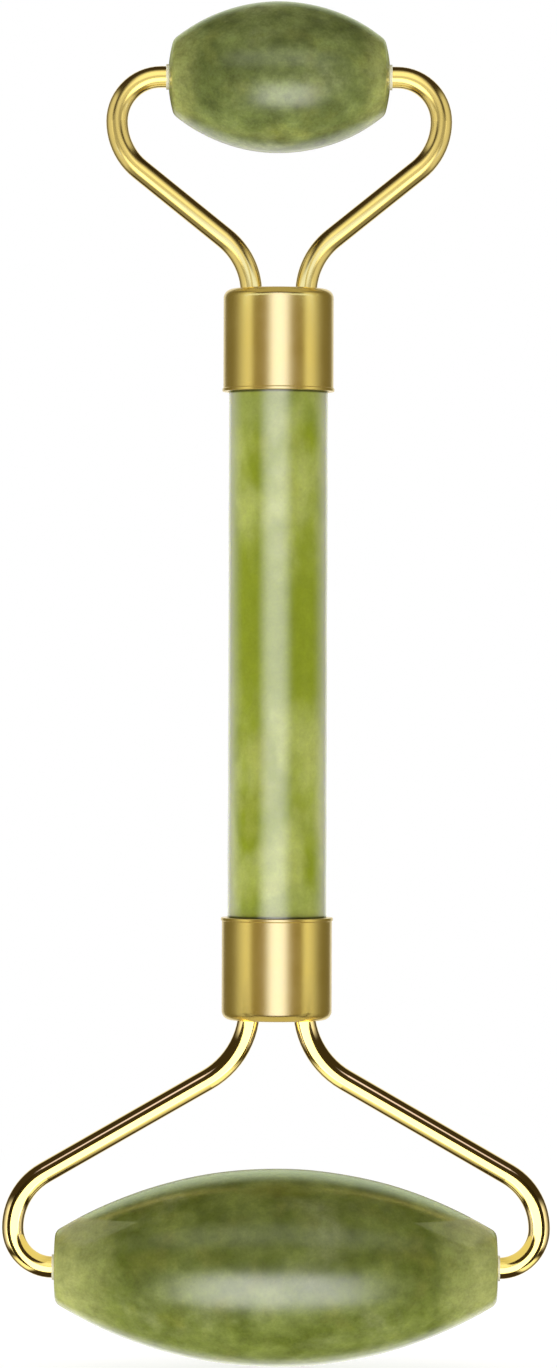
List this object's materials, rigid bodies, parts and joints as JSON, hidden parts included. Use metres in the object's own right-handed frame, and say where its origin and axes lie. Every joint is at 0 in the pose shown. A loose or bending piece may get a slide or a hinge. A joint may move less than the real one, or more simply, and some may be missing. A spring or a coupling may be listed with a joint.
{
  "type": "jade face roller",
  "caption": "Stone handle with a bent wire fork at each end, carrying a small and a large barrel-shaped stone roller that spin freely.",
  "frame": {"origin": "the middle of the handle, on its axis", "axes": "+Z along the handle towards the small roller, +X along both roller axles, +Y through the object's thin direction"},
  "size_m": [0.0582, 0.021, 0.1449],
  "materials": {
    "handle_stone": "polished, cloudy, lets light through",
    "roller_stone": "polished, mottled moss green",
    "ferrule_metal": "satin, turned, gold coloured",
    "fork_wire": "bright polished, gold coloured",
    "potting": "cured filler",
    "glue": "clear set glue",
    "sleeve_nylon": "natural cream nylon"
  },
  "bodies": {
    "frame": {"handle": "handle_stone", "small_end_ferrule": "ferrule_metal", "large_end_ferrule": "ferrule_metal", "small_fork": "fork_wire", "large_fork": "fork_wire", "small_fork_potting": "potting", "large_fork_potting": "potting", "small_end_bond": "glue", "large_end_bond": "glue", "small_left_sleeve": "sleeve_nylon", "small_right_sleeve": "sleeve_nylon", "large_left_sleeve": "sleeve_nylon", "large_right_sleeve": "sleeve_nylon"},
    "small_roller": {"small_roller": "roller_stone"},
    "large_roller": {"large_roller": "roller_stone"}
  },
  "joints": [
    {"name": "small_roller_spin", "type": "hinge", "parent": "frame", "child": "small_roller", "pos_m": [0, 0, 0.0613], "axis": [1, 0, 0], "continuous": true},
    {"name": "large_roller_spin", "type": "hinge", "parent": "frame", "child": "large_roller", "pos_m": [0, 0, -0.0651], "axis": [1, 0, 0], "continuous": true}
  ]
}
